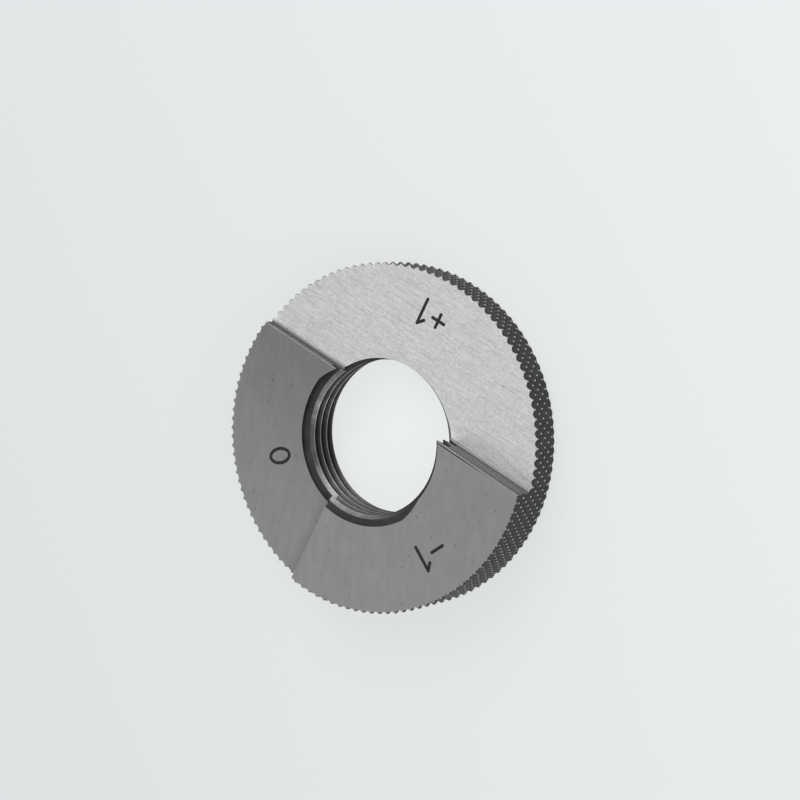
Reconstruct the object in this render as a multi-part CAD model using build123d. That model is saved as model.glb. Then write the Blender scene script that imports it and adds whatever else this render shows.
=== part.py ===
from build123d import *
import os
from math import atan, ceil, cos, degrees, radians, sin, tan

# Taper pipe thread ring gauge, 3/4 inch size, 14 threads to the inch, in one hardened piece.
# The ring lies on its large-end face at z = 0, with its axis on +Z. The small end is ground
# to three levels, one thread pitch apart, which show the least, basic and greatest engagement.

# Thread (60 degree taper pipe form)
INCH = 25.4
THREADS_PER_INCH = 14
THREAD_TAPER = 1 / 16                 # growth of the diameter for each unit of length
PITCH_DIAMETER = 25.118               # at the large-end face
FLANK_ANGLE = 30.0                    # between each flank and a plane square to the axis
CREST_DEPTH = 0.66                    # from the pitch line in to the truncated crest
FLANK_OVERRUN = 0.08                  # of the cutter's flanks past the crest, into the bore
RELIEF_DEPTH = 1.02                   # from the pitch line out to the relieved root
RELIEF_WIDTH = 0.79                   # of the clearance groove at the bottom of the root
RELIEF_WALL_ANGLE = 5.0               # by which each wall of the clearance groove opens
GROOVE_HEIGHT = 0.115                 # middle of the lowest groove above z = 0, on +X
SEAM_ANGLE = 40.0                     # where one turn of the cutter ends and the next starts

# Body
OUTER_DIAMETER = 53.0                 # over the tips of the knurl
BASIC_THICKNESS = 8.611               # from the large end to the basic level
STEP_TURNS = 1                        # each level is this many pitches from the next
STEP_WALL_ANGLE = 27.3                # from the X axis to where the straight wall meets the thread
SECTOR_WALL_OFFSET = -1.95            # wall between basic and thick sectors, along X
STEP_FILLET = 0.3                     # at the foot of the straight wall
BACK_CHAMFER = 1.25                   # on the rim at the large end
MOUTH_CHAMFER = 0.45                  # beyond the relieved root, at the large-end mouth
MOUTH_ANGLE = 45.0                    # of the mouth chamfer from the axis

# Knurl: rows of four-sided pyramids, each row half a tooth round from the last
KNURL_TEETH = 116
KNURL_DEPTH = 0.42
KNURL_AXIAL_PITCH = 2.25              # between rows that line up
KNURL_ROW_HEIGHT = 0.99               # first row of tips above z = 0
KNURL_PHASE = 0.71                    # degrees from +X to a tip in the first row

CLEAR = 1.0                           # by which cutters run past what they cut

pitch = INCH / THREADS_PER_INCH
pitch_radius = PITCH_DIAMETER / 2
slope = THREAD_TAPER / 2
cone_angle = degrees(atan(slope))
outer_radius = OUTER_DIAMETER / 2
step = STEP_TURNS * pitch
step_wall_offset = pitch_radius * sin(radians(STEP_WALL_ANGLE))
thin_height = BASIC_THICKNESS - step
thick_height = BASIC_THICKNESS + step


def crest_radius(z):
    """Radius of the bore over the thread crests at height z."""
    return pitch_radius - CREST_DEPTH - slope * z


def ring_blank():
    """Turned blank with the taper bore, the large-end mouth chamfer and the rim chamfer."""
    mouth_radius = pitch_radius + RELIEF_DEPTH + MOUTH_CHAMFER
    mouth_depth = (mouth_radius - crest_radius(0)) / (tan(radians(MOUTH_ANGLE)) - slope)
    over = outer_radius + CLEAR
    profile = Polyline(
        (mouth_radius, 0),
        (outer_radius - BACK_CHAMFER, 0),
        (over, BACK_CHAMFER + CLEAR),
        (over, thick_height),
        (crest_radius(thick_height), thick_height),
        (crest_radius(mouth_depth), mouth_depth),
        close=True,
    )
    return revolve(Plane.XZ * make_face(profile), Axis.Z)


def step_cutter():
    """Everything above the basic and thin levels."""
    reach = outer_radius + 2 * CLEAR
    rise = step + CLEAR
    thin = Pos(0, step_wall_offset, thin_height) * Box(
        2 * reach, reach, step + rise, align=(Align.CENTER, Align.MIN, Align.MIN)
    )
    foot = thin.edges().filter_by(Axis.X).sort_by(Axis.Z)[:2].sort_by(Axis.Y)[0]
    thin = fillet(foot, STEP_FILLET)
    basic = Pos(SECTOR_WALL_OFFSET, step_wall_offset + CLEAR, BASIC_THICKNESS) * Box(
        reach, 2 * reach, rise, align=(Align.MAX, Align.MAX, Align.MIN)
    )
    return thin, basic


def thread_section():
    """Corners of the cutter's section, from the pitch line: outwards, then along the axis."""
    flank = tan(radians(FLANK_ANGLE))
    wall = tan(radians(RELIEF_WALL_ANGLE))
    flank_depth = CREST_DEPTH + FLANK_OVERRUN
    at_crest = pitch / 4 + flank_depth * flank
    half_root = RELIEF_WIDTH / 2
    relief_start = (pitch / 4 - half_root - RELIEF_DEPTH * wall) / (flank - wall)
    side = [
        (-flank_depth - CLEAR, at_crest),
        (-flank_depth, at_crest),
        (relief_start, pitch / 4 - relief_start * flank),
        (RELIEF_DEPTH, half_root),
    ]
    return side + [(out, -along) for out, along in reversed(side)]


def thread_turn(start_height):
    """One turn of the thread cutter, starting at SEAM_ANGLE."""
    radius = pitch_radius - slope * start_height
    helices = [
        Edge.make_helix(pitch, pitch, radius + out, (0, 0, start_height + along), angle=-cone_angle)
        for out, along in thread_section()
    ]
    sides = [
        Face.make_surface_from_curves(one, other)
        for one, other in zip(helices, helices[1:] + helices[:1])
    ]
    ends = [Face(Wire.make_polygon([helix @ end for helix in helices])) for end in (0, 1)]
    return Rot(0, 0, SEAM_ANGLE) * Solid(Shell(sides + ends))


def thread_turns():
    """Turns of the cutter that reach past both ends of the bore."""
    first = GROOVE_HEIGHT + pitch * SEAM_ANGLE / 360 - 2 * pitch
    turns = ceil((thick_height + pitch - first) / pitch)
    return [thread_turn(first + turn * pitch) for turn in range(turns)]


def knurled_cylinder():
    """Diamond-knurled cylinder that reaches past both ends of the rim."""
    tooth = 360 / KNURL_TEETH
    row_rise = KNURL_AXIAL_PITCH / 2
    first = -ceil((KNURL_ROW_HEIGHT + CLEAR) / row_rise)
    last = ceil((thick_height + CLEAR - KNURL_ROW_HEIGHT) / row_rise)

    def point(row, half_tooth):
        radius = outer_radius - KNURL_DEPTH * ((row + half_tooth) % 2)
        angle = radians(KNURL_PHASE + half_tooth * tooth / 2)
        return Vector(radius * cos(angle), radius * sin(angle), KNURL_ROW_HEIGHT + row * row_rise)

    faces = []
    for row in range(first, last + 1):
        for half_tooth in range(row % 2, 2 * KNURL_TEETH, 2):
            tip = point(row, half_tooth)
            left, right = point(row, half_tooth - 1), point(row, half_tooth + 1)
            if row < last:
                above = point(row + 1, half_tooth)
                faces += [triangle(tip, right, above), triangle(tip, above, left)]
            if row > first:
                below = point(row - 1, half_tooth)
                faces += [triangle(tip, left, below), triangle(tip, below, right)]
    for row in (first, last):
        faces.append(Face(Wire.make_polygon([point(row, half) for half in range(2 * KNURL_TEETH)])))
    return Solid(Shell(faces))


def triangle(*corners):
    return Face(Wire.make_polygon(corners))


def gauge_ring():
    ring = ring_blank()
    for cutter in (*step_cutter(), *thread_turns()):
        ring -= cutter
    return ring & knurled_cylinder()


ring = gauge_ring().solid()
ring.label = "gauge_ring"
ring.color = Color(0.62, 0.63, 0.62)
os.makedirs("parts", exist_ok=True)
export_step(ring, "parts/gauge_ring.step")
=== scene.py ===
import math

import bmesh
import bpy
from bpy.props import FloatProperty, FloatVectorProperty, IntProperty, PointerProperty
from bpy.types import Operator, Panel, PropertyGroup
from mathutils import Matrix, Vector


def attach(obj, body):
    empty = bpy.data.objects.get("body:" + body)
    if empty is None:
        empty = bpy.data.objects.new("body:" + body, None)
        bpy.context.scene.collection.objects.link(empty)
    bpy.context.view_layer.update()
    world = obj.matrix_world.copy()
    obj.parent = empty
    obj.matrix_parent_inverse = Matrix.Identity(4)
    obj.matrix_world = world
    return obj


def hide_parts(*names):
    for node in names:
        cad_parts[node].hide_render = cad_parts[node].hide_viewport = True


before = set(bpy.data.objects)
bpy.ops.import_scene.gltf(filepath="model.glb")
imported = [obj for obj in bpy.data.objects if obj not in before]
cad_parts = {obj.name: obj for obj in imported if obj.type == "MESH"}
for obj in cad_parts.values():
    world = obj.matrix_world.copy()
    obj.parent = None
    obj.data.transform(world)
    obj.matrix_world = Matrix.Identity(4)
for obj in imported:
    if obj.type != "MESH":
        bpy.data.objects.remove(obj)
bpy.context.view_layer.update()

bl_info = {
    "name": "Taper Thread Ring Gauge",
    "version": (1, 0, 0),
    "blender": (4, 5, 0),
    "location": "3D View > Sidebar > Gauge",
    "description": "Builds a knurled taper thread ring gauge with stepped faces, and its stage",
    "category": "Object",
}

MM = 0.001
INCH = 25.4
CAD_NODE = "gauge_ring"

# Finishes, in the order of the ring's material slots
FINISHES = (
    "ground_thin_face",
    "ground_basic_face",
    "ground_thick_face",
    "step_wall",
    "wall_edge",
    "thread_crest",
    "thread_flank",
    "thread_relief",
    "knurl_flank",
    "knurl_tip",
    "turned_chamfer",
)
(
    THIN_FACE, BASIC_FACE, THICK_FACE, WALL, WALL_EDGE, CREST, FLANK, RELIEF, KNURL, TIP, CHAMFER,
) = range(len(FINISHES))
FLAT_SHADED = (THIN_FACE, BASIC_FACE, THICK_FACE, KNURL, TIP)

# Form of the ring: lengths are in millimetres
TAPER = 1 / 16                        # growth of the thread's diameter for each unit of length
FLANK_ANGLE = math.radians(30)        # between each flank and a plane square to the axis
CLEAR = 1.0                           # by which cutters run past what they cut
MOUTH_RECESS = 3.0                    # depth of the cone that leaves the mouth chamfer
TIP_INSET = 0.78                      # of a diamond's inradius, from its sides to its flat tip
THREAD_STEPS = 120                    # for each turn of the thread
LATHE_STEPS = 160                     # round the turned envelope
FILLET_STEPS = 5
SHARP_ANGLE = math.radians(28)        # edges that turn more than this are drawn sharp
SAME = 0.01                           # heights and radii this close are one
ON_WALL = 0.002                       # places this close to a wall or a level lie on it
MERGE = 1e-4                          # vertices this close are joined
ON_PLANE = 1e-5                       # vertices this close to a cutting plane lie on it

# Numbers on the levels, in millimetres
MARK_LIFT = 0.012                     # of the ink over the steel
STROKE_LIFT = 0.006                   # of a stroke over one that it crosses
ROUND_OFF = 1e-9                      # a place no further than this from zero is at zero

# Finishes: lengths are in metres
BLACK = (0.0, 0.0, 0.0, 1.0)
BUMP_DISTANCE = 0.00002
BRUSH_ANGLE = math.radians(-112)
NEAR_WALL = 1.35                      # tone of the thin face at the wall, against the rest of it
SHADE_LINE_PLACE = -0.00024                # of the middle of the painted shade line, from the wall
SHADE_LINE_HALF_WIDTH = 0.0001

# Painted light on the thread, by the part of a turn from -X, counter-clockwise from above
THREAD_LIGHT_ROUND = (
    (0.011, 0.9), (0.069, 0.23), (0.133, 0.24), (0.194, 0.95), (0.26, 0.63), (0.333, 0.5),
    (0.417, 0.1), (0.65, 0.05), (0.86, 0.3), (0.98, 0.85),
)
THREAD_LIGHT_BACK = 0.57                      # at -X itself, where the turn starts and ends

# Stage: lengths are in metres, powers in watts and the lens in millimetres
FLOOR_SIZE = 3.0
FLOOR_DRIFT = (0.62, 0.78, 0.0)       # direction in which the floor gets lighter, by painted light
FLOOR_DRIFT_REACH = 0.08              # from the axis to where it is darkest or lightest
FLOOR_DARK, FLOOR_LIGHT = 0.955, 1.045
FLOOR_SHOWN = 0.8                     # share of the floor that shows its own tone, unlit
MIDDLE_LIFT = 1.1                     # painted light on the floor inside the ring: lift of its tone
MIDDLE_START, MIDDLE_END = 0.014, 0.022   # radii between which the lift dies out
WORLD_SEEN = (0.93, 0.94, 0.95, 1.0)
AMBIENT = (0.95, 0.97, 1.0, 1.0)
AMBIENT_STRENGTH = 0.52
LIGHT_TARGET = (0, 0, 0.005)
SOFTBOX_SIDE = 0.5
SOFTBOXES = (                         # name, place and power
    ("key_softbox", (-0.25, 0.42, 0.55), 2.3),
    ("fill_softbox", (0.5, 0.1, 0.45), 1.2),
)
CAMERA_PLACE = (0.14449, 0.11149, 0.30385)
CAMERA_RIGHT = (0.7562, 0.4078, -0.5116)
CAMERA_BACK = (0.4167, 0.3027, 0.8572)
CAMERA_LENS = 103.5
SENSOR_WIDTH = 36.0


# ---------------------------------------------------------------- sizes and colours

def length(name, description, default):
    return FloatProperty(
        name=name, description=description, default=default, unit="LENGTH", precision=5, min=0.0,
    )


def angle_size(name, description, default):
    return FloatProperty(name=name, description=description, default=default, subtype="ANGLE")


def count(name, description, default, least):
    return IntProperty(name=name, description=description, default=default, min=least)


def colour(name, description, default):
    return FloatVectorProperty(
        name=name, description=description, default=default, subtype="COLOR", size=3,
        min=0.0, max=1.0,
    )


def own_properties(group):
    """Names of the properties that a group defines itself."""
    return [name for name in group.bl_rna.properties.keys() if name not in ("rna_type", "name")]


class GaugeSizes(PropertyGroup):
    outer_diameter: length("Outer diameter", "Over the tips of the knurl", 0.053)
    pitch_diameter: length("Pitch diameter", "Of the thread at the large end", 0.025118)
    threads_per_inch: count("Threads per inch", "Turns of the thread in one inch", 14, 4)
    crest_depth: length("Crest depth", "From the pitch line in to the thread crest", 0.00066)
    relief_depth: length("Relief depth", "From the pitch line out to the relieved root", 0.00102)
    relief_width: length("Relief width", "Of the clearance groove at its bottom", 0.00079)
    relief_angle: angle_size(
        "Relief wall angle", "By which each wall of the clearance groove opens", math.radians(5.0)
    )
    groove_height: length(
        "Groove height", "Middle of the lowest groove above the large end", 0.000115
    )
    basic_thickness: length("Basic thickness", "From the large end to the basic level", 0.008611)
    wall_offset: length("Wall offset", "Straight step wall from the axis", 0.00576)
    sector_offset: length("Sector offset", "Wall between the two sectors from the axis", 0.00195)
    wall_fillet: length("Wall fillet", "At the foot of the step wall", 0.0003)
    wall_break: length("Wall edge break", "Narrow land along the top of the step walls", 0.0001)
    back_chamfer: length("Back chamfer", "On the rim at the large end", 0.00125)
    mouth_chamfer: length("Mouth chamfer", "Beyond the relieved root at the large end", 0.00045)
    knurl_teeth: count("Knurl teeth", "Diamonds round the rim in one row", 116, 24)
    knurl_depth: length("Knurl depth", "From the tips to the grooves", 0.00042)
    knurl_pitch: length("Knurl pitch", "Along the axis between rows that line up", 0.00225)
    knurl_row: length("Knurl row height", "First row of tips above the large end", 0.00099)
    knurl_phase: angle_size("Knurl phase", "Angle to a tip in the first row", math.radians(0.71))
    mark_height: length("Mark height", "Of the numbers on the levels", 0.0040)
    mark_stroke: length("Mark stroke", "Width of the strokes of the numbers", 0.00052)


class GaugeColours(PropertyGroup):
    bright_ground: colour("Bright ground", "Coarse-ground thin half", (0.56, 0.565, 0.56))
    basic_ground: colour("Basic level", "Fine-ground basic level", (0.283, 0.286, 0.282))
    thick_ground: colour("Thick level", "Fine-ground thick level", (0.378, 0.376, 0.372))
    wall: colour("Step wall", "Milled walls between the levels", (0.047, 0.049, 0.046))
    # Painted highlight on the rounded foot of the step walls
    foot_highlight: colour("Wall foot", "Rounded foot of the step walls", (0.15, 0.15, 0.148))
    edge: colour("Worn edge", "Thin bright edges", (0.29, 0.29, 0.285))
    # The thread's crest and flank each have a painted lit and a painted shaded colour; the shaded
    # flank is also blackened steel
    crest: colour("Thread crest", "Bare tops of the thread", (0.85, 0.85, 0.84))
    crest_shaded: colour("Dull crest", "Tops of the thread left unrubbed", (0.16, 0.16, 0.158))
    flank_lit: colour("Worn flank", "Thread sides where they are rubbed", (0.225, 0.225, 0.221))
    flank: colour("Thread flank", "Blackened sides of the thread", (0.022, 0.023, 0.023))
    relief: colour("Thread relief", "Blackened root of the thread", (0.031, 0.032, 0.032))
    oxide: colour("Knurl oxide", "Blackened sides of the knurl", (0.031, 0.032, 0.033))
    tip: colour("Knurl tip", "Worn tips of the knurl", (0.55, 0.55, 0.55))
    ink: colour("Mark", "Etched numbers", (0.022, 0.022, 0.024))
    floor: colour("Floor", "Pale floor", (0.805, 0.82, 0.83))


# ---------------------------------------------------------------- mesh helpers

def spin_profile(bm, points, steps, angle=2 * math.pi, rise=0.0):
    """Turn a line of (radius, height) points round the axis."""
    verts = [bm.verts.new((radius, 0.0, height)) for radius, height in points]
    edges = [bm.edges.new(pair) for pair in zip(verts, verts[1:])]
    bmesh.ops.spin(
        bm, geom=verts + edges, cent=(0, 0, 0), axis=(0, 0, 1), dvec=(0, 0, rise / steps),
        angle=angle, steps=steps, use_merge=rise == 0.0,
    )


def clean(bm):
    bmesh.ops.remove_doubles(bm, verts=bm.verts, dist=MERGE)
    bmesh.ops.recalc_face_normals(bm, faces=bm.faces)


def turn_about_axis(bm, verts, angle):
    matrix = Matrix.Rotation(angle, 3, "Z")
    bmesh.ops.rotate(bm, cent=(0, 0, 0), matrix=matrix, verts=verts)


def to_object(bm, name, scale=1.0):
    bmesh.ops.scale(bm, vec=(scale, scale, scale), verts=bm.verts)
    mesh = bpy.data.meshes.new(name)
    bm.to_mesh(mesh)
    bm.free()
    obj = bpy.data.objects.new(name, mesh)
    bpy.context.scene.collection.objects.link(obj)
    return obj


# ---------------------------------------------------------------- the ring

class RingShape:
    """The ring's sizes in millimetres, with those that follow from others."""

    def __init__(self, sizes):
        for name in own_properties(sizes):
            value = getattr(sizes, name)
            unit = sizes.bl_rna.properties[name].unit
            setattr(self, name, value / MM if unit == "LENGTH" else value)
        self.pitch = INCH / self.threads_per_inch
        self.outer = self.outer_diameter / 2
        self.pitch_radius = self.pitch_diameter / 2
        self.slope = TAPER / 2
        self.thin = self.basic_thickness - self.pitch
        self.thick = self.basic_thickness + self.pitch

    def crest_at(self, height):
        """Radius over the thread crests at a height."""
        return self.pitch_radius - self.crest_depth - self.slope * height


def on_side(face):
    return abs(face.normal.z) < 0.5


def knurled_bar(shape):
    """Bar whose side is all diamonds, each raised into a pyramid with a small flat tip."""
    bm = bmesh.new()
    valley = shape.outer - shape.knurl_depth
    rows = math.ceil((shape.thick + 2 * CLEAR) / shape.knurl_pitch) + 1
    bmesh.ops.create_cone(
        bm, cap_ends=True, segments=shape.knurl_teeth, radius1=valley, radius2=valley,
        depth=rows * shape.knurl_pitch,
    )
    upright = [e for e in bm.edges if abs(e.verts[0].co.z - e.verts[1].co.z) > SAME]
    bmesh.ops.subdivide_edges(bm, edges=upright, cuts=rows - 1, use_grid_fill=True)
    sides = [f for f in bm.faces if on_side(f)]
    shared = [e for e in bm.edges if all(on_side(f) for f in e.link_faces)]
    bmesh.ops.poke(bm, faces=sides, center_mode="MEAN")
    bmesh.ops.dissolve_edges(bm, edges=shared)
    for vert in bm.verts:
        vert.co.xy = vert.co.xy.normalized() * valley
    diamonds = [f for f in bm.faces if len(f.verts) == 4 and on_side(f)]
    across = 2 * math.pi * valley / shape.knurl_teeth
    inradius = across * shape.knurl_pitch / 2 / math.hypot(across, shape.knurl_pitch)
    raised = bmesh.ops.inset_individual(
        bm, faces=diamonds, thickness=inradius * TIP_INSET, depth=shape.knurl_depth,
        use_even_offset=True,
    )
    for face in raised["faces"]:
        face.material_index = KNURL
    for face in diamonds:
        face.material_index = TIP
    # The bar starts below the ring, at a height that puts a row of tips at knurl_row
    base = shape.knurl_row - 1.5 * shape.knurl_pitch
    bmesh.ops.translate(bm, vec=(0, 0, base + rows * shape.knurl_pitch / 2), verts=bm.verts)
    turn_about_axis(bm, bm.verts, shape.knurl_phase)
    clean(bm)
    return to_object(bm, "knurled_bar")


def turned_envelope(shape):
    """What the lathe leaves: flat ends, the rim chamfer and the recess of the mouth."""
    bm = bmesh.new()
    mouth = shape.pitch_radius + shape.relief_depth + shape.mouth_chamfer
    over = shape.outer + CLEAR
    runs = [
        (0.0, MOUTH_RECESS), (mouth - MOUTH_RECESS, MOUTH_RECESS), (mouth, 0.0),
        (shape.outer - shape.back_chamfer, 0.0), (over, shape.back_chamfer + CLEAR),
        (over, shape.thick), (0.0, shape.thick),
    ]
    spin_profile(bm, runs, LATHE_STEPS)
    clean(bm)
    for face in bm.faces:
        flat = abs(face.normal.z) > 0.99
        face.material_index = THICK_FACE if flat else CHAMFER
    top = [f for f in bm.faces if f.calc_center_median().z > shape.thick - SAME]
    bmesh.ops.dissolve_faces(bm, faces=top)
    return to_object(bm, "turned_envelope")


def thread_outline(shape):
    """One pitch of the thread as places out from the pitch line and along from the groove."""
    flank = math.tan(FLANK_ANGLE)
    wall = math.tan(shape.relief_angle)
    root = shape.relief_width / 2
    start = (shape.pitch / 4 - root - shape.relief_depth * wall) / (flank - wall)
    half = [
        (-shape.crest_depth, shape.pitch / 2),
        (-shape.crest_depth, shape.pitch / 4 + shape.crest_depth * flank),
        (start, shape.pitch / 4 - start * flank),
        (shape.relief_depth, root),
    ]
    return [(out, -along) for out, along in half] + half[::-1]


def thread_plug(shape):
    """Male form of the thread, which the ring is cut with."""
    bm = bmesh.new()
    first = shape.groove_height - 2 * shape.pitch
    turns = math.ceil((shape.thick + 2 * CLEAR - first) / shape.pitch)
    runs = [(shape.pitch_radius + out, first + along) for out, along in thread_outline(shape)]
    spin_profile(bm, runs, THREAD_STEPS * turns, 2 * math.pi * turns, shape.pitch * turns)
    crest = shape.pitch_radius - shape.crest_depth + SAME
    for face in bm.faces:
        radii = [math.hypot(*vert.co.xy) for vert in face.verts]
        if max(radii) < crest:
            face.material_index = CREST
        elif max(radii) - min(radii) > SAME and min(radii) < crest:
            face.material_index = FLANK
        else:
            face.material_index = RELIEF
    bmesh.ops.remove_doubles(bm, verts=bm.verts, dist=MERGE)
    for vert in bm.verts:
        radius = math.hypot(*vert.co.xy)
        scale = (radius - shape.slope * vert.co.z) / radius
        vert.co.x *= scale
        vert.co.y *= scale
    for height, up in ((-CLEAR, -1), (shape.thick + CLEAR, 1)):
        bmesh.ops.bisect_plane(
            bm, geom=bm.verts[:] + bm.edges[:] + bm.faces[:], dist=ON_PLANE,
            plane_co=(0, 0, height), plane_no=(0, 0, up), clear_outer=True,
        )
    open_edges = [e for e in bm.edges if e.is_boundary]
    bmesh.ops.holes_fill(bm, edges=open_edges, sides=0)
    clean(bm)
    return to_object(bm, "thread_plug")


def level_cutter(name, low, high, finish, fillet=0.0):
    """Block above a level; its lower edge along the step wall may be rounded."""
    bm = bmesh.new()
    bmesh.ops.create_cube(bm, size=1.0)
    low, high = Vector(low), Vector(high)
    bmesh.ops.scale(bm, vec=high - low, verts=bm.verts)
    bmesh.ops.translate(bm, vec=(low + high) / 2, verts=bm.verts)
    for face in bm.faces:
        face.material_index = finish if face.normal.z < -0.5 else WALL
    if fillet:
        foot = [
            e for e in bm.edges
            if all(v.co.z < low.z + SAME and v.co.y < low.y + SAME for v in e.verts)
        ]
        bmesh.ops.bevel(
            bm, geom=foot, offset=fillet, segments=FILLET_STEPS, profile=0.5, affect="EDGES",
            material=WALL, clamp_overlap=True,
        )
    bmesh.ops.recalc_face_normals(bm, faces=bm.faces)
    return to_object(bm, name)


def cut_ring(shape):
    """Mesh of the knurled bar after the lathe, the three levels and the thread have cut it."""
    reach = shape.outer + 3 * CLEAR
    top = shape.thick + 3 * CLEAR
    bar = knurled_bar(shape)
    envelope = turned_envelope(shape)
    plug = thread_plug(shape)
    thin = level_cutter(
        "thin_cutter", (-reach, shape.wall_offset, shape.thin), (reach, reach, top), THIN_FACE,
        fillet=shape.wall_fillet,
    )
    basic = level_cutter(
        "basic_cutter", (-reach, -reach, shape.basic_thickness),
        (-shape.sector_offset, shape.wall_offset + CLEAR, top), BASIC_FACE,
    )
    cutters = (
        (envelope, "INTERSECT"), (basic, "DIFFERENCE"), (thin, "DIFFERENCE"), (plug, "DIFFERENCE"),
    )
    blanks = [bar] + [cutter for cutter, _ in cutters]
    for obj in blanks:
        for finish in FINISHES:
            obj.data.materials.append(bpy.data.materials[finish])
    for cutter, operation in cutters:
        cut = bar.modifiers.new(cutter.name, "BOOLEAN")
        cut.operation = operation
        cut.object = cutter
        cut.solver = "EXACT"
        cut.material_mode = "INDEX"
    depsgraph = bpy.context.evaluated_depsgraph_get()
    mesh = bpy.data.meshes.new_from_object(bar.evaluated_get(depsgraph))
    for obj in blanks:
        bpy.data.objects.remove(obj)
    return mesh


def break_wall_edges(bm, shape):
    """A narrow land along the top of the step walls, as the stone leaves."""
    tops = []
    for edge in bm.edges:
        ends = [vert.co for vert in edge.verts]
        if len(edge.link_faces) != 2 or any(abs(p.y - shape.wall_offset) >= ON_WALL for p in ends):
            continue
        for level in (shape.basic_thickness, shape.thick):
            if all(abs(p.z - level) < ON_WALL for p in ends):
                tops.append(edge)
    bmesh.ops.bevel(
        bm, geom=tops, offset=shape.wall_break, segments=2, profile=0.5, affect="EDGES",
        material=WALL_EDGE, clamp_overlap=False,
    )
    for face in bm.faces:
        if face.material_index == THICK_FACE and face.normal.z > 0.9:
            for vert in face.verts:
                vert.co.z = shape.thick


class GAUGE_OT_ring(Operator):
    """Build the ring: knurl, thread, rim chamfer and the three levels"""

    bl_idname = "gauge.ring"
    bl_label = "Ring"

    def execute(self, context):
        shape = RingShape(context.scene.gauge_sizes)
        make_finishes(context.scene.gauge_colours, shape)
        mesh = cut_ring(shape)
        bm = bmesh.new()
        bm.from_mesh(mesh)
        break_wall_edges(bm, shape)
        ring = to_object(bm, "ring_body", MM)
        for material in mesh.materials:
            ring.data.materials.append(material)
        # Marking the sharp edges makes every face smooth, so the flat ones come after it
        ring.data.set_sharp_from_angle(angle=SHARP_ANGLE)
        for polygon in ring.data.polygons:
            if polygon.material_index in FLAT_SHADED:
                polygon.use_smooth = False
        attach(ring, "root")
        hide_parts(CAD_NODE)
        return {"FINISHED"}


# ---------------------------------------------------------------- nodes

def put(tree, socket, value):
    """Link an output to a socket, or set the socket to a plain value."""
    if isinstance(value, bpy.types.NodeSocket):
        tree.links.new(value, socket)
    else:
        socket.default_value = value


def new_group(name, inputs, outputs):
    """Node group whose inputs, given with their defaults, and outputs are all numbers."""
    tree = bpy.data.node_groups.new(name, "ShaderNodeTree")
    for title, default in inputs.items():
        socket = tree.interface.new_socket(title, in_out="INPUT", socket_type="NodeSocketFloat")
        socket.default_value = default
    for title in outputs:
        tree.interface.new_socket(title, in_out="OUTPUT", socket_type="NodeSocketFloat")
    given = tree.nodes.new("NodeGroupInput")
    out = tree.nodes.new("NodeGroupOutput")
    return tree, given.outputs, out.inputs


def add_group(tree, name, **values):
    node = tree.nodes.new("ShaderNodeGroup")
    node.node_tree = bpy.data.node_groups[name]
    for key, value in values.items():
        node.inputs[key].default_value = value
    return node.outputs


def object_place(tree):
    return tree.nodes.new("ShaderNodeTexCoord").outputs["Object"]


def object_axes(tree):
    split = tree.nodes.new("ShaderNodeSeparateXYZ")
    put(tree, split.inputs[0], object_place(tree))
    return split.outputs


def math_node(tree, operation, *values):
    node = tree.nodes.new("ShaderNodeMath")
    node.operation = operation
    for socket, value in zip(node.inputs, values):
        put(tree, socket, value)
    return node.outputs[0]


def vector_node(tree, operation, *values):
    node = tree.nodes.new("ShaderNodeVectorMath")
    node.operation = operation
    for socket, value in zip(node.inputs, values):
        put(tree, socket, value)
    return node.outputs["Value" if operation in ("DOT_PRODUCT", "LENGTH") else "Vector"]


def range_node(tree, value, start, end, low=0.0, high=1.0, smooth=False):
    """Value that goes from low to high as the one given goes from start to end."""
    node = tree.nodes.new("ShaderNodeMapRange")
    node.interpolation_type = "SMOOTHSTEP" if smooth else "LINEAR"
    titles = ("Value", "From Min", "From Max", "To Min", "To Max")
    for title, given in zip(titles, (value, start, end, low, high)):
        put(tree, node.inputs[title], given)
    return node.outputs[0]


def noise_node(tree, place, scale, detail=2.0, roughness=0.5):
    node = tree.nodes.new("ShaderNodeTexNoise")
    titles = ("Vector", "Scale", "Detail", "Roughness")
    for title, given in zip(titles, (place, scale, detail, roughness)):
        put(tree, node.inputs[title], given)
    return node.outputs["Fac"]


def mapping_node(tree, place, scale, location=(0.0, 0.0, 0.0)):
    node = tree.nodes.new("ShaderNodeMapping")
    for title, given in zip(("Vector", "Scale", "Location"), (place, scale, location)):
        put(tree, node.inputs[title], given)
    return node.outputs[0]


def mix_node(tree, share, first, second, kind="RGBA", blend="MIX"):
    node = tree.nodes.new("ShaderNodeMix")
    node.data_type = kind
    node.blend_type = blend
    for title, given in zip(("Factor", "A", "B"), (share, first, second)):
        put(tree, node.inputs[title], given)
    return node.outputs["Result"]


def mix_shaders(tree, share, first, second, surface):
    """Give a surface the first shader, and the second by the share."""
    node = tree.nodes.new("ShaderNodeMixShader")
    for socket, given in zip(node.inputs, (share, first, second)):
        put(tree, socket, given)
    put(tree, surface, node.outputs[0])


def vary(tree, value, base, low, high, start=0.3, end=0.7):
    """Colour that goes from base times low to base times high as the value rises."""
    share = range_node(tree, value, start, end)
    dark, light = ((*[channel * part for channel in base], 1.0) for part in (low, high))
    return mix_node(tree, share, dark, light)


def darken(tree, tone, mask, amount=1.0):
    """Tone, taken down by the amount where the mask is 1."""
    share = math_node(tree, "MULTIPLY", mask, amount)
    return mix_node(tree, share, tone, BLACK, blend="MULTIPLY")


def along_axis(tree, axis, start, end, low, high):
    """Value that goes from low to high between two places along an object axis."""
    return range_node(tree, object_axes(tree)[axis], start, end, low, high, smooth=True)


# ---------------------------------------------------------------- effects that finishes share

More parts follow.
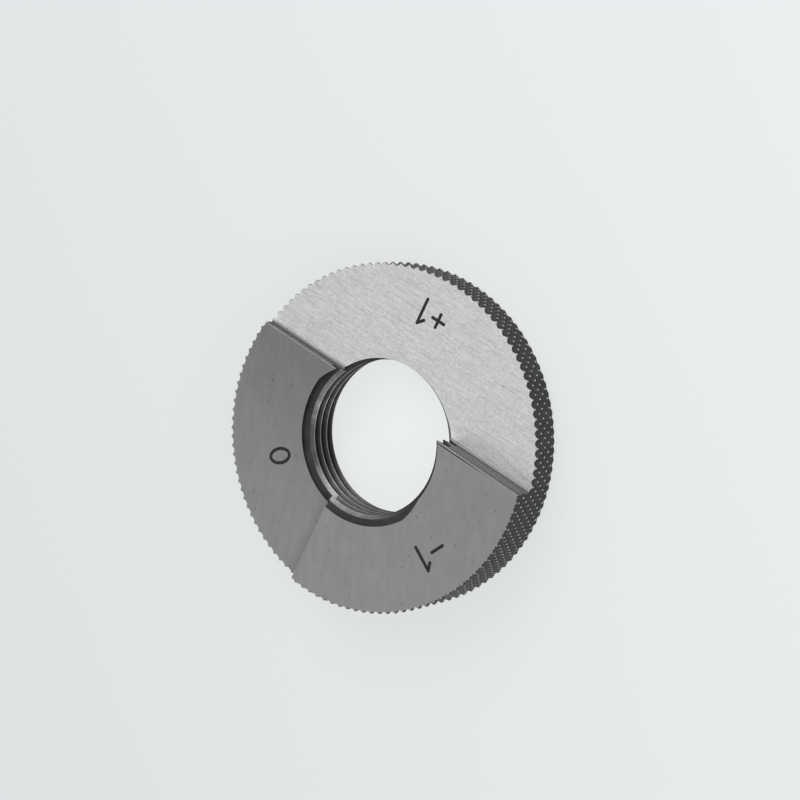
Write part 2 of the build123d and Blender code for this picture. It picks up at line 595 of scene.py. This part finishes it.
def build_ground_lines():
    """Grinding lines along X: fine ones everywhere, and a few deeper scratches."""
    tree, given, out = new_group(
        "ground_lines", {"Across": 5500.0, "Along": 450.0}, ("Lines", "Scratches")
    )
    grain = tree.nodes.new("ShaderNodeCombineXYZ")
    for title, density in zip("XYZ", (given["Along"], given["Across"], 350.0)):
        put(tree, grain.inputs[title], density)
    drawn = mapping_node(tree, object_place(tree), grain.outputs[0])
    fine = noise_node(tree, drawn, 1.0, detail=4.0, roughness=0.65)
    grit = noise_node(tree, object_place(tree), 2600.0, detail=1.0)
    both = mix_node(tree, 0.35, fine, grit, kind="FLOAT")
    put(tree, out["Lines"], range_node(tree, both, 0.35, 0.65))
    coarse = mapping_node(tree, drawn, (0.35, 0.45, 1.0), (3.1, 7.7, 0.0))
    sparse = noise_node(tree, coarse, 1.0, detail=1.0)
    put(tree, out["Scratches"], range_node(tree, sparse, 0.68, 0.76))


def build_mottle():
    """Changes of tone that handling leaves on steel: clouds, brushed patches and specks."""
    tree, given, out = new_group("mottle", {"Scale": 180.0}, ("Cloud", "Specks", "Brush"))
    place = object_place(tree)
    turned = tree.nodes.new("ShaderNodeVectorRotate")
    turned.rotation_type = "Z_AXIS"
    put(tree, turned.inputs["Angle"], BRUSH_ANGLE)
    put(tree, turned.inputs["Vector"], place)
    drawn = mapping_node(tree, turned.outputs[0], (0.35, 1.0, 1.0))
    put(tree, out["Brush"], noise_node(tree, drawn, 900.0, detail=3.0))
    put(tree, out["Cloud"], noise_node(tree, place, given["Scale"], detail=3.0))
    dots = tree.nodes.new("ShaderNodeTexVoronoi")
    put(tree, dots.inputs["Scale"], 900.0)
    put(tree, dots.inputs["Vector"], place)
    near = range_node(tree, dots.outputs["Distance"], 0.22, 0.10)
    few = range_node(tree, noise_node(tree, place, 420.0), 0.54, 0.62)
    put(tree, out["Specks"], math_node(tree, "MULTIPLY", near, few))


def build_painted_shade_line():
    """Painted shade: a thin dark line on a level, beside the top of the straight step wall on +X.
    """
    tree, given, out = new_group("stain_line", {"Wall": 0.00576}, ("Line",))
    axes = object_axes(tree)
    apart = math_node(tree, "SUBTRACT", axes["Y"], given["Wall"])
    line = math_node(tree, "COMPARE", apart, SHADE_LINE_PLACE, SHADE_LINE_HALF_WIDTH)
    fading = range_node(tree, axes["X"], 0.021, 0.015)
    side = math_node(tree, "GREATER_THAN", axes["X"], 0.0)
    for mask in (fading, side):
        line = math_node(tree, "MULTIPLY", line, mask)
    put(tree, out["Line"], line)


def build_painted_thread_light():
    """Painted light on the thread: how bright it is by the angle round the bore, with painted
    shade at depth.
    """
    tree, given, out = new_group(
        "thread_wear", {"Sector": 0.0, "Step": 0.0, "Level": 0.0, "Deep": 0.3}, ("Wear",)
    )
    axes = object_axes(tree)
    angle = math_node(tree, "ARCTAN2", axes["Y"], axes["X"])
    turn = math_node(tree, "MULTIPLY_ADD", angle, 1 / (2 * math.pi), 0.5)
    round_bore = tree.nodes.new("ShaderNodeValToRGB")
    put(tree, round_bore.inputs["Fac"], turn)
    stops = round_bore.color_ramp.elements
    for stop in stops:
        stop.color = (*[THREAD_LIGHT_BACK] * 3, 1.0)
    for part, bright in THREAD_LIGHT_ROUND:
        stops.new(part).color = (*[bright] * 3, 1.0)
    # Painted shade: darker deeper below the level
    thick_side = math_node(tree, "GREATER_THAN", axes["X"], given["Sector"])
    level = math_node(tree, "MULTIPLY_ADD", thick_side, given["Step"], given["Level"])
    below = math_node(tree, "SUBTRACT", level, axes["Z"])
    depth = range_node(tree, below, 0.0013, 0.0022, 1.0, given["Deep"])
    put(tree, out["Wear"], math_node(tree, "MULTIPLY", round_bore.outputs["Color"], depth))


# ---------------------------------------------------------------- finishes

def new_finish(name, roughness, metallic=1.0, specular=0.5):
    material = bpy.data.materials.new(name)
    material.use_nodes = True
    shader = material.node_tree.nodes["Principled BSDF"]
    shader.inputs["Metallic"].default_value = metallic
    shader.inputs["Roughness"].default_value = roughness
    shader.inputs["Specular IOR Level"].default_value = specular
    return material.node_tree, shader


def bump(tree, shader, height, strength):
    node = tree.nodes.new("ShaderNodeBump")
    node.inputs["Strength"].default_value = strength
    node.inputs["Distance"].default_value = BUMP_DISTANCE
    put(tree, node.inputs["Height"], height)
    put(tree, shader.inputs["Normal"], node.outputs[0])


def ground_finish(name, base, roughness, across, along, contrast, scratch, relief, specks):
    """Surface-ground steel: fine lines along X, a few scratches and specks."""
    tree, shader = new_finish(name, roughness)
    lines = add_group(tree, "ground_lines", Across=across, Along=along)
    tone = vary(tree, lines["Lines"], base, 1 - contrast, 1 + contrast, 0.0, 1.0)
    tone = darken(tree, tone, lines["Scratches"], scratch)
    spots = add_group(tree, "mottle", Scale=160.0)
    tone = darken(tree, tone, spots["Cloud"], 0.06)
    tone = darken(tree, tone, spots["Specks"], specks)
    bump(tree, shader, lines["Lines"], relief)
    return tree, shader, tone, spots


def bore_edge(tree, crest):
    """1 on the narrow dark edge of the bore on +X, which widens towards the step wall."""
    flat = vector_node(tree, "MULTIPLY", object_place(tree), (1.0, 1.0, 0.0))
    radius = vector_node(tree, "LENGTH", flat)
    reach = along_axis(tree, "X", 0.0070, 0.0108, crest + 0.00012, crest + 0.00042)
    inside = math_node(tree, "LESS_THAN", radius, reach)
    side = along_axis(tree, "X", 0.0005, 0.0055, 0.0, 1.0)
    return math_node(tree, "MULTIPLY", inside, side)


def thin_finish(colours, wall, crest):
    """Coarse-ground face, a little brighter along the foot of the wall."""
    base = [channel * NEAR_WALL for channel in colours.bright_ground]
    tree, shader, tone, _ = ground_finish(
        "ground_thin_face", base, roughness=0.42, across=5500, along=450, contrast=0.18,
        scratch=0.18, relief=0.45, specks=0.12,
    )
    away = along_axis(tree, "Y", wall + 0.0003, wall + 0.0022, 0.0, 1 - 1 / NEAR_WALL)
    tone = darken(tree, tone, away)
    tone = darken(tree, tone, bore_edge(tree, crest), 0.8)
    put(tree, shader.inputs["Base Color"], tone)


def level_finish(name, base, far, wall, sector=None):
    """Lapped level: soft brushed patches, and a tone that drifts from the step wall outwards.

    With a sector, a soft shade also lies along the foot of the wall between the sectors.
    """
    tree, shader, tone, spots = ground_finish(
        name, base, roughness=0.38, across=9000, along=500, contrast=0.03,
        scratch=0.04, relief=0.15, specks=0.34,
    )
    tone = darken(tree, tone, spots["Brush"], 0.22)
    tone = darken(tree, tone, along_axis(tree, "Y", -0.020, 0.006, far, 0.24))
    # Painted shade: a thin dark line beside the top of the step wall
    shade_line = add_group(tree, "stain_line", Wall=wall)
    tone = darken(tree, tone, shade_line["Line"], 0.85)
    if sector is not None:
        shade = along_axis(tree, "X", sector - 0.0028, sector - 0.0003, 0.0, 0.2)
        tone = darken(tree, tone, shade)
    put(tree, shader.inputs["Base Color"], tone)


def plain_finish(name, base, roughness, low, high, scale, metallic=1.0, specular=0.5):
    """Steel or ink whose tone changes in clouds between low and high times its colour."""
    tree, shader = new_finish(name, roughness, metallic, specular)
    spots = add_group(tree, "mottle", Scale=scale)
    tone = vary(tree, spots["Cloud"], base, low, high)
    put(tree, shader.inputs["Base Color"], tone)
    return tree, shader, tone


def wall_finish(colours, thin):
    """Milled wall, with a painted highlight where its foot runs into the thin face, and darker on
    -X.
    """
    tree, shader, tone = plain_finish("step_wall", colours.wall, 0.4, 0.85, 1.15, 500)
    foot = along_axis(tree, "Z", thin + 0.00095, thin + 0.0002, 0.0, 1.0)
    # Painted highlight on the rounded foot of the wall
    tone = mix_node(tree, foot, tone, (*colours.foot_highlight, 1.0))
    tone = darken(tree, tone, along_axis(tree, "X", -0.004, 0.004, 0.2, 0.0))
    put(tree, shader.inputs["Base Color"], tone)


def edge_finish(colours):
    """Bright break along the top of the walls, which dies out towards the rim on +X."""
    tree, shader, tone = plain_finish("wall_edge", colours.edge, 0.3, 0.8, 1.2, 700)
    tone = darken(tree, tone, along_axis(tree, "X", 0.0, 0.012, 0.0, 0.45))
    tone = darken(tree, tone, along_axis(tree, "X", 0.0155, 0.021, 0.0, 0.3))
    put(tree, shader.inputs["Base Color"], tone)


def thread_finish(name, shape, bright, dark, roughness, deep):
    """Thread surface between its painted shaded and painted lit colours, mixed by the painted
    light of the thread.
    """
    tree, shader, tone = plain_finish(name, bright, roughness, 0.75, 1.2, 900)
    thread_light = add_group(
        tree, "thread_wear", Sector=-shape.sector_offset * MM, Step=shape.pitch * MM,
        Level=shape.basic_thickness * MM, Deep=deep,
    )
    # Painted light: the lit colour where the thread catches light, the shaded colour elsewhere
    tone = mix_node(tree, thread_light["Wear"], (*dark, 1.0), tone)
    put(tree, shader.inputs["Base Color"], tone)


def make_finishes(colours, shape):
    for build in (build_ground_lines, build_mottle, build_painted_shade_line, build_painted_thread_light):
        build()
    wall = shape.wall_offset * MM
    sector = -shape.sector_offset * MM
    thin_finish(colours, wall, shape.crest_at(shape.thin) * MM)
    level_finish("ground_basic_face", colours.basic_ground, 0.0, wall, sector)
    level_finish("ground_thick_face", colours.thick_ground, 0.2, wall)
    wall_finish(colours, shape.thin * MM)
    edge_finish(colours)
    thread_finish("thread_crest", shape, colours.crest, colours.crest_shaded, 0.35, 0.9)
    thread_finish("thread_flank", shape, colours.flank_lit, colours.flank, 0.45, 0.28)
    plain_finish("thread_relief", colours.relief, 0.55, 0.7, 1.3, 500, 0.0, 0.15)
    plain_finish("knurl_flank", colours.oxide, 0.5, 0.75, 1.25, 600, 0.0, 0.4)
    plain_finish("knurl_tip", colours.tip, 0.35, 0.7, 1.25, 700)
    plain_finish("turned_chamfer", colours.wall, 0.4, 0.8, 1.2, 500)
    plain_finish("mark_ink", colours.ink, 0.6, 0.8, 1.3, 900, 0.0, 0.15)


# ---------------------------------------------------------------- numbers on the levels

def stroke_bar(bm, start, end, width, lift=0.0):
    """Flat bar with round ends; lift keeps it clear of a stroke that it crosses."""
    start, end = Vector((*start, lift)), Vector((*end, lift))
    run = end - start
    made = bmesh.ops.create_circle(bm, cap_ends=True, segments=20, radius=width / 2)
    verts = made["verts"]
    for vert in verts:
        if vert.co.x > ROUND_OFF:
            vert.co.x += run.length
    turn_about_axis(bm, verts, math.atan2(run.y, run.x))
    bmesh.ops.translate(bm, vec=start, verts=verts)


def stroke_ring(bm, width, height, stroke):
    """Flat oval band."""
    verts = bmesh.ops.create_circle(bm, cap_ends=True, segments=48, radius=0.5)["verts"]
    bmesh.ops.scale(bm, vec=(width, height, 1), verts=verts)
    face = verts[0].link_faces[0]
    bmesh.ops.inset_region(
        bm, faces=[face], thickness=stroke, use_even_offset=True, use_boundary=True,
    )
    bmesh.ops.delete(bm, geom=[face], context="FACES")


def draw_one(bm, height, stroke):
    x = height * 0.42
    stroke_bar(bm, (x, -height / 2), (x, height / 2), stroke)
    stroke_bar(bm, (x - height * 0.22, height * 0.28), (x, height / 2), stroke, STROKE_LIFT)


def draw_minus_one(bm, height, stroke):
    stroke_bar(bm, (-height * 0.62, 0), (-height * 0.08, 0), stroke)
    draw_one(bm, height, stroke)


def draw_plus_one(bm, height, stroke):
    x, half = -height * 0.35, height * 0.27
    draw_minus_one(bm, height, stroke)
    stroke_bar(bm, (x, -half), (x, half), stroke, STROKE_LIFT)


def draw_zero(bm, height, stroke):
    stroke_ring(bm, height * 0.68, height, stroke)


class GAUGE_OT_level_marks(Operator):
    """Put a plain number on each level"""

    bl_idname = "gauge.level_marks"
    bl_label = "Level marks"

    def execute(self, context):
        shape = RingShape(context.scene.gauge_sizes)
        marks = (
            ("mark_thin_level", draw_plus_one, (-1.2, 20.3), shape.thin, 180),
            ("mark_basic_level", draw_zero, (-13.6, -11.3), shape.basic_thickness, 130),
            ("mark_thick_level", draw_minus_one, (17.2, -9.6), shape.thick, -119),
        )
        for name, draw, centre, level, degrees in marks:
            bm = bmesh.new()
            draw(bm, shape.mark_height, shape.mark_stroke)
            turn_about_axis(bm, bm.verts, math.radians(degrees))
            bmesh.ops.translate(bm, vec=(*centre, level + MARK_LIFT), verts=bm.verts)
            for face in bm.faces:
                if face.normal.z < 0:
                    face.normal_flip()
            mark = to_object(bm, name, MM)
            mark.data.materials.append(bpy.data.materials["mark_ink"])
            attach(mark, "root")
        return {"FINISHED"}


# ---------------------------------------------------------------- stage

def add_softbox(name, place, power):
    data = bpy.data.lights.new(name, "AREA")
    data.size = SOFTBOX_SIDE
    data.energy = power
    light = bpy.data.objects.new(name, data)
    light.location = place
    aim = Vector(LIGHT_TARGET) - Vector(place)
    light.rotation_euler = aim.to_track_quat("-Z", "Y").to_euler()
    bpy.context.scene.collection.objects.link(light)


def seen_directly(tree):
    """1 for what the camera, a reflection or a transmission sees, 0 for light on surfaces."""
    path = tree.nodes.new("ShaderNodeLightPath").outputs
    seen = path["Is Camera Ray"]
    for ray in ("Is Glossy Ray", "Is Transmission Ray"):
        seen = math_node(tree, "MAXIMUM", seen, path[ray])
    return seen


def painted_light_middle(tree, place, tone):
    """Floor tone with painted light inside the ring, raised where the ring's own shadow falls."""
    radius = vector_node(tree, "LENGTH", place)
    lift = range_node(tree, radius, MIDDLE_START, MIDDLE_END, MIDDLE_LIFT, 1.0, smooth=True)
    raised = tree.nodes.new("ShaderNodeVectorMath")
    raised.operation = "SCALE"
    put(tree, raised.inputs[0], tone)
    put(tree, raised.inputs["Scale"], lift)
    return raised.outputs[0]


class GAUGE_OT_stage(Operator):
    """Build the floor, the light and the camera"""

    bl_idname = "gauge.stage"
    bl_label = "Stage"

    def execute(self, context):
        self.build_floor(context.scene.gauge_colours)
        self.build_world(context)
        for softbox in SOFTBOXES:
            add_softbox(*softbox)
        self.place_camera(context)
        context.scene.view_settings.view_transform = "Standard"
        return {"FINISHED"}

    def build_floor(self, colours):
        bm = bmesh.new()
        bmesh.ops.create_grid(bm, x_segments=1, y_segments=1, size=FLOOR_SIZE)
        floor = to_object(bm, "floor")
        tree, shader = new_finish("floor_sheet", 0.8, 0.0, 0.1)
        place = object_place(tree)
        # Painted light: the floor gets lighter along the drift direction
        along = vector_node(tree, "DOT_PRODUCT", place, FLOOR_DRIFT)
        tone = vary(
            tree, along, colours.floor, FLOOR_DARK, FLOOR_LIGHT,
            -FLOOR_DRIFT_REACH, FLOOR_DRIFT_REACH,
        )
        tone = painted_light_middle(tree, place, tone)
        put(tree, shader.inputs["Base Color"], tone)
        shown = tree.nodes.new("ShaderNodeEmission")
        put(tree, shown.inputs["Color"], tone)
        share = math_node(tree, "MULTIPLY", seen_directly(tree), FLOOR_SHOWN)
        surface = tree.nodes["Material Output"].inputs["Surface"]
        mix_shaders(tree, share, shader.outputs[0], shown.outputs[0], surface)
        floor.data.materials.append(bpy.data.materials["floor_sheet"])

    def build_world(self, context):
        world = bpy.data.worlds.new("studio")
        context.scene.world = world
        world.use_nodes = True
        tree = world.node_tree
        shown = tree.nodes["Background"]
        shown.inputs["Color"].default_value = WORLD_SEEN
        ambient = tree.nodes.new("ShaderNodeBackground")
        ambient.inputs["Color"].default_value = AMBIENT
        ambient.inputs["Strength"].default_value = AMBIENT_STRENGTH
        surface = tree.nodes["World Output"].inputs["Surface"]
        mix_shaders(tree, seen_directly(tree), ambient.outputs[0], shown.outputs[0], surface)

    def place_camera(self, context):
        data = bpy.data.cameras.new("camera")
        data.lens = CAMERA_LENS
        data.sensor_width = SENSOR_WIDTH
        camera = bpy.data.objects.new("camera", data)
        back = Vector(CAMERA_BACK)
        up = back.cross(Vector(CAMERA_RIGHT)).normalized()
        right = up.cross(back).normalized()
        turn = Matrix((right, up, back.normalized())).transposed()
        camera.matrix_world = Matrix.Translation(CAMERA_PLACE) @ turn.to_4x4()
        context.scene.collection.objects.link(camera)
        context.scene.camera = camera


# ---------------------------------------------------------------- panel and running

class GAUGE_PT_panel(Panel):
    """Sizes, colours and the steps that build the gauge"""

    bl_idname = "GAUGE_PT_panel"
    bl_label = "Thread Ring Gauge"
    bl_space_type = "VIEW_3D"
    bl_region_type = "UI"
    bl_category = "Gauge"

    def draw(self, context):
        for operator in (GAUGE_OT_ring, GAUGE_OT_level_marks, GAUGE_OT_stage):
            self.layout.operator(operator.bl_idname)
        for group in (context.scene.gauge_sizes, context.scene.gauge_colours):
            box = self.layout.box()
            for name in own_properties(group):
                box.prop(group, name)


CLASSES = (
    GaugeSizes, GaugeColours, GAUGE_OT_ring, GAUGE_OT_level_marks, GAUGE_OT_stage, GAUGE_PT_panel,
)


def register():
    for cls in CLASSES:
        bpy.utils.register_class(cls)
    bpy.types.Scene.gauge_sizes = PointerProperty(type=GaugeSizes)
    bpy.types.Scene.gauge_colours = PointerProperty(type=GaugeColours)


def unregister():
    del bpy.types.Scene.gauge_colours
    del bpy.types.Scene.gauge_sizes
    for cls in reversed(CLASSES):
        bpy.utils.unregister_class(cls)


def main():
    register()
    bpy.ops.gauge.ring()
    bpy.ops.gauge.level_marks()
    bpy.ops.gauge.stage()


if __name__ == "__main__":
    main()
